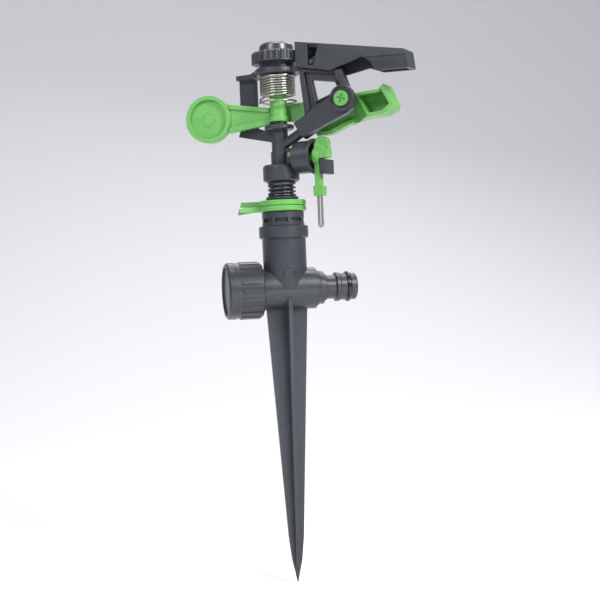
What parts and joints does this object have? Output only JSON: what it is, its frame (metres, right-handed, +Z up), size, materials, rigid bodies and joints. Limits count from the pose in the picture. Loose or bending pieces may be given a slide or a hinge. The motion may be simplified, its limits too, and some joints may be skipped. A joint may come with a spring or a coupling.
{
  "type": "impact sprinkler on a spike",
  "caption": "Impact sprinkler on a lawn spike: spring-returned hammer arm, nozzle bridge with splash hood, trip lever, arc-setting collars, hose plug and screw cap.",
  "frame": {"origin": "on the upright axis at the spike's shoulder, where the ground is", "axes": "+Z up the axis, +X along the tee towards the hose plug"},
  "size_m": [0.1216, 0.0929, 0.3245],
  "materials": {
    "dark_plastic": "dark grey moulded plastic, satin",
    "black_plastic": "black acetal, satin",
    "green_plastic": "green moulded plastic, semi-gloss",
    "white_plastic": "natural acetal",
    "black_rubber": "black nitrile rubber, glossy when wet",
    "spring_steel": "drawn stainless spring wire"
  },
  "bodies": {
    "base": {"tee_and_spike": "dark_plastic", "hose_plug": "dark_plastic", "plug_o_ring": "black_rubber", "spigot_o_ring": "black_rubber", "bearing_sleeve": "dark_plastic", "sleeve_o_ring": "black_rubber"},
    "cap_carrier": {"cap_washer": "black_rubber"},
    "cap": {"end_cap": "dark_plastic"},
    "lower_collar": {"lower_trip_collar": "green_plastic"},
    "upper_collar": {"upper_trip_collar": "green_plastic"},
    "head": {"swivel_tube": "black_plastic", "lower_bearing_washer": "white_plastic", "upper_bearing_washer": "dark_plastic", "bearing_spring": "spring_steel", "spring_skirt": "dark_plastic", "bridge": "dark_plastic", "nozzle_insert": "black_plastic", "arm_axle": "spring_steel", "arm_washer": "black_plastic", "arm_spring": "spring_steel", "hood_pin": "dark_plastic", "trip_housing": "dark_plastic", "housing_pin": "green_plastic", "toggle_spring": "spring_steel"},
    "knob": {"tension_knob": "dark_plastic"},
    "hood": {"splash_hood": "dark_plastic"},
    "arm": {"hammer_arm": "green_plastic", "spring_sleeve": "green_plastic"},
    "trip": {"trip_lever": "green_plastic", "trip_wire": "spring_steel"},
    "diffuser_carrier": {"diffuser_o_ring": "black_rubber"},
    "diffuser": {"diffuser_screw": "green_plastic"}
  },
  "joints": [
    {"name": "head_turn", "type": "hinge", "parent": "base", "child": "head", "pos_m": [0, 0, 0.06], "axis": [0, 0, 1], "range_deg": [-125, 165]},
    {"name": "lower_collar_turn", "type": "hinge", "parent": "base", "child": "lower_collar", "pos_m": [0, 0, 0.0613], "axis": [0, 0, 1], "range_deg": [-110, 110]},
    {"name": "upper_collar_turn", "type": "hinge", "parent": "base", "child": "upper_collar", "pos_m": [0, 0, 0.0646], "axis": [0, 0, 1], "range_deg": [-110, 110]},
    {"name": "arm_swing", "type": "hinge", "parent": "head", "child": "arm", "pos_m": [0, 0, 0.1132], "axis": [0, 0, 1], "range_deg": [0, 120], "stiffness_Nm_per_rad": 0.01, "springref_deg": -57.3},
    {"name": "trip_flip", "type": "hinge", "parent": "head", "child": "trip", "pos_m": [0, 0, 0.09075], "axis": [0.749, -0.6626, 0], "range_deg": [-15, 15]},
    {"name": "knob_turn", "type": "hinge", "parent": "head", "child": "knob", "pos_m": [0, 0, 0.1472], "axis": [0, 0, 1], "range_deg": [-170, 170]},
    {"name": "hood_tilt", "type": "hinge", "parent": "head", "child": "hood", "pos_m": [0.01962, -0.01736, 0.14515], "axis": [0.6626, 0.749, 0], "range_deg": [0, 8]},
    {"name": "cap_travel", "type": "slide", "parent": "base", "child": "cap_carrier", "axis": [-1, 0, 0], "range_m": [0, 0.0091]},
    {"name": "cap_turn", "type": "hinge", "parent": "cap_carrier", "child": "cap", "pos_m": [-0.0153, 0, 0.0132], "axis": [-1, 0, 0], "range_deg": [0, 1800]},
    {"name": "diffuser_travel", "type": "slide", "parent": "head", "child": "diffuser_carrier", "axis": [0.6626, 0.749, 0], "range_m": [0, 0.0027]},
    {"name": "diffuser_turn", "type": "hinge", "parent": "diffuser_carrier", "child": "diffuser", "pos_m": [0.0347, -0.0307, 0.12125], "axis": [0.6626, 0.749, 0], "range_deg": [0, 1080]}
  ],
  "couplings": [
    {"joint": "cap_travel", "follows": "cap_turn", "m_per_rad": 0.00028871},
    {"joint": "diffuser_turn", "follows": "diffuser_travel", "rad_per_m": 6981.3}
  ]
}
